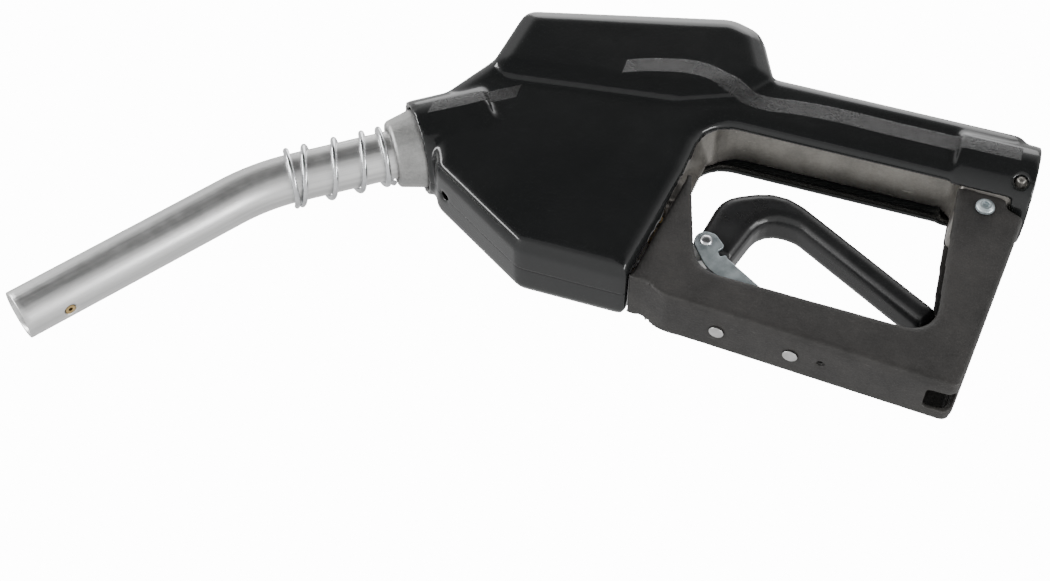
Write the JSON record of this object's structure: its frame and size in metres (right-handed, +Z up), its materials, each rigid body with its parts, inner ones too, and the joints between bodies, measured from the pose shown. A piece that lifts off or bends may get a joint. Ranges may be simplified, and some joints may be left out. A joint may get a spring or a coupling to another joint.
{
  "type": "automatic shut-off fuel nozzle",
  "caption": "Automatic shut-off fuel nozzle: bent spout with anchor spring, vinyl-covered cast body, guarded squeeze lever with hold-open latch, threaded hose inlet.",
  "frame": {"origin": "centre of the hose inlet's mouth", "axes": "+X out of the inlet along the handle, +Y to the side, +Z up with the handle level and the lever below it; y = 0 is the plane of symmetry"},
  "size_m": [0.3797, 0.043, 0.236],
  "materials": {
    "cast_aluminium": "as-cast, satin",
    "aluminium": "brushed along its length",
    "vinyl": "glossy dipped vinyl",
    "guard_plastic": "fine grained, matte",
    "lever_plastic": "satin",
    "rubber": "matte",
    "steel": "bright wire and turned steel",
    "zinc": "bluish zinc plate",
    "brass": "turned"
  },
  "bodies": {
    "nozzle": {"body_casting": "cast_aluminium", "spout_bushing": "cast_aluminium", "spout_tube": "aluminium", "body_cap": "aluminium", "diaphragm_cap": "aluminium", "vent_tube": "aluminium", "rack_rivet_front": "aluminium", "rack_rivet_rear": "aluminium", "hand_insulator": "vinyl", "lever_guard": "guard_plastic", "cap_seal": "rubber", "stem_packing": "rubber", "diaphragm": "rubber", "spout_seal": "rubber", "anchor_spring": "steel", "main_valve_spring": "steel", "plunger_spring": "steel", "diaphragm_spring": "steel", "check_valve_spring": "steel", "spout_screw": "steel", "diaphragm_cap_screw_1": "steel", "diaphragm_cap_screw_2": "steel", "diaphragm_cap_screw_3": "steel", "diaphragm_cap_screw_4": "steel", "hold_open_rack": "zinc", "guard_screw": "zinc", "inlet_strainer": "brass", "packing_nut": "brass", "plunger_sleeve": "brass", "vent_fitting": "brass", "check_valve_seat": "brass", "check_valve_guide": "brass"},
    "plunger": {"plunger": "steel", "lever_pivot_pin": "steel", "latch_ball_1": "steel", "latch_ball_2": "steel", "latch_ball_3": "steel"},
    "lever": {"lever_core": "aluminium", "lever_grip": "lever_plastic", "latch_rivet": "steel", "latch_spring": "steel"},
    "latch": {"hold_open_latch": "zinc"},
    "main_valve": {"main_valve_poppet": "brass", "main_valve_disc": "rubber"},
    "check_valve": {"check_valve_poppet": "brass"},
    "vacuum_latch": {"latch_pin": "steel"}
  },
  "joints": [
    {"name": "plunger_trip", "type": "slide", "parent": "nozzle", "child": "plunger", "axis": [0, 0, -1], "range_m": [0, 0.005], "stiffness_N_per_m": 1000, "springref_m": -0.006, "deforming": ["plunger_spring"]},
    {"name": "lever_squeeze", "type": "hinge", "parent": "plunger", "child": "lever", "pos_m": [-0.187, 0, -0.086], "axis": [0, -1, 0], "range_deg": [0, 14], "stiffness_Nm_per_rad": 1.2, "springref_deg": -14.32},
    {"name": "latch_swing", "type": "hinge", "parent": "lever", "child": "latch", "pos_m": [-0.121, 0, -0.072], "axis": [0, 1, 0], "range_deg": [0, 16], "stiffness_Nm_per_rad": 0.05, "springref_deg": -17.19},
    {"name": "main_valve_lift", "type": "slide", "parent": "nozzle", "child": "main_valve", "axis": [0, 0, 1], "range_m": [0, 0.0106], "deforming": ["main_valve_spring"]},
    {"name": "check_valve_lift", "type": "slide", "parent": "nozzle", "child": "check_valve", "axis": [-0.8141, 0, -0.5807], "range_m": [0, 0.0035], "stiffness_N_per_m": 200, "springref_m": -0.004, "deforming": ["check_valve_spring"]},
    {"name": "vacuum_lift", "type": "slide", "parent": "nozzle", "child": "vacuum_latch", "axis": [0, 0, 1], "range_m": [0, 0.003], "stiffness_N_per_m": 300, "springref_m": -0.004, "deforming": ["diaphragm_spring"]}
  ],
  "couplings": [
    {"joint": "main_valve_lift", "follows": "lever_squeeze", "m_per_rad": 0.041}
  ]
}
